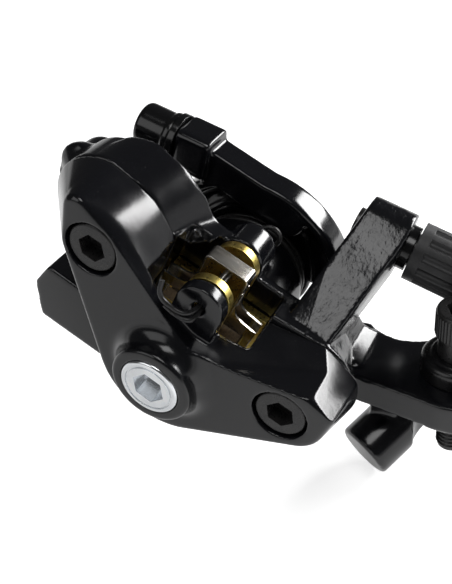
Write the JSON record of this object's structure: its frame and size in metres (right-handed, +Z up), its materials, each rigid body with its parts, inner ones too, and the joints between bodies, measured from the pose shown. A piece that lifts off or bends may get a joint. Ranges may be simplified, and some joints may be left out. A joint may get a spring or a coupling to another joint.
{
  "type": "bicycle disc brake caliper",
  "caption": "Cable-pulled bicycle disc brake caliper: a lever turns a ball ramp that pushes one pad, a screw sets the other, on slotted post-mount ears.",
  "frame": {"origin": "midway between the two mounting bolts, on the plane of the frame's posts", "axes": "+X along the line of the mounting bolts towards the cable stop, +Y away from the wheel along its axle, +Z up the mounting bolts towards their heads"},
  "size_m": [0.1039, 0.0555, 0.0709],
  "materials": {
    "body_paint": "gloss black paint over a cast alloy",
    "lever_paint": "gloss black paint over a cast alloy",
    "seat_paint": "satin black anodised",
    "black_alloy": "black anodised",
    "black_steel": "black oxide with an oil sheen",
    "zinc_steel": "bright zinc plate",
    "plain_steel": "turned steel",
    "ball_steel": "polished",
    "spring_steel": "bright spring steel",
    "pad_backing": "yellow passivated, worn bright on the edges",
    "friction": "sintered bronze friction block",
    "bronze": "plain bronze",
    "rubber": "matt",
    "grip_plastic": "satin moulded"
  },
  "bodies": {
    "caliper": {"inner_body": "body_paint", "outer_body": "body_paint", "body_screws": "black_steel", "split_pin": "black_steel", "pad_spring": "spring_steel", "return_spring": "spring_steel", "thrust_washer": "bronze", "cam_bush": "bronze", "dust_seal": "rubber", "barrel_locknut": "black_alloy", "seats_right": "seat_paint", "seats_left": "seat_paint", "mount_bolts": "black_steel"},
    "lever_arm": {"lever": "lever_paint", "lever_washer": "plain_steel", "lever_screw": "black_steel", "anchor_collet": "black_steel", "anchor_nut": "black_steel", "ramp_cam": "plain_steel"},
    "piston": {"moving_piston": "plain_steel", "piston_ring": "rubber", "ramp_balls": "ball_steel", "outer_pad_plate": "pad_backing", "outer_pad_lining": "friction"},
    "adjuster": {"adjuster_plug": "zinc_steel", "adjuster_ring": "rubber"},
    "inner_pad": {"inner_foot": "plain_steel", "inner_pad_plate": "pad_backing", "inner_pad_lining": "friction"},
    "barrel": {"barrel_stem": "black_alloy"},
    "grip": {"barrel_grip": "grip_plastic"}
  },
  "joints": [
    {"name": "lever_turn", "type": "hinge", "parent": "caliper", "child": "lever_arm", "pos_m": [-0.012, 0.0115, 0.018], "axis": [0, 1, 0], "range_deg": [0, 28], "stiffness_Nm_per_rad": 0.4, "springref_deg": -28.65, "deforming": ["return_spring"]},
    {"name": "piston_push", "type": "slide", "parent": "caliper", "child": "piston", "axis": [0, -1, 0], "range_m": [0, 0.00108], "deforming": ["pad_spring"]},
    {"name": "adjuster_turn", "type": "hinge", "parent": "caliper", "child": "adjuster", "pos_m": [-0.012, -0.0285, 0.018], "axis": [0, 1, 0], "range_deg": [0, 540]},
    {"name": "inner_pad_advance", "type": "slide", "parent": "caliper", "child": "inner_pad", "axis": [0, 1, 0], "range_m": [0, 0.0015], "deforming": ["pad_spring"]},
    {"name": "barrel_out", "type": "slide", "parent": "caliper", "child": "barrel", "axis": [0.9483, 0, -0.3173], "range_m": [0, 0.003]},
    {"name": "grip_turn", "type": "hinge", "parent": "barrel", "child": "grip", "pos_m": [0.03263, 0.011, 0.02627], "axis": [0.9483, 0, -0.3173], "range_deg": [0, 1080]}
  ],
  "couplings": [
    {"joint": "piston_push", "follows": "lever_turn", "m_per_rad": 0.0022},
    {"joint": "adjuster_turn", "follows": "inner_pad_advance", "rad_per_m": 6283.2},
    {"joint": "grip_turn", "follows": "barrel_out", "rad_per_m": 6283.2}
  ]
}
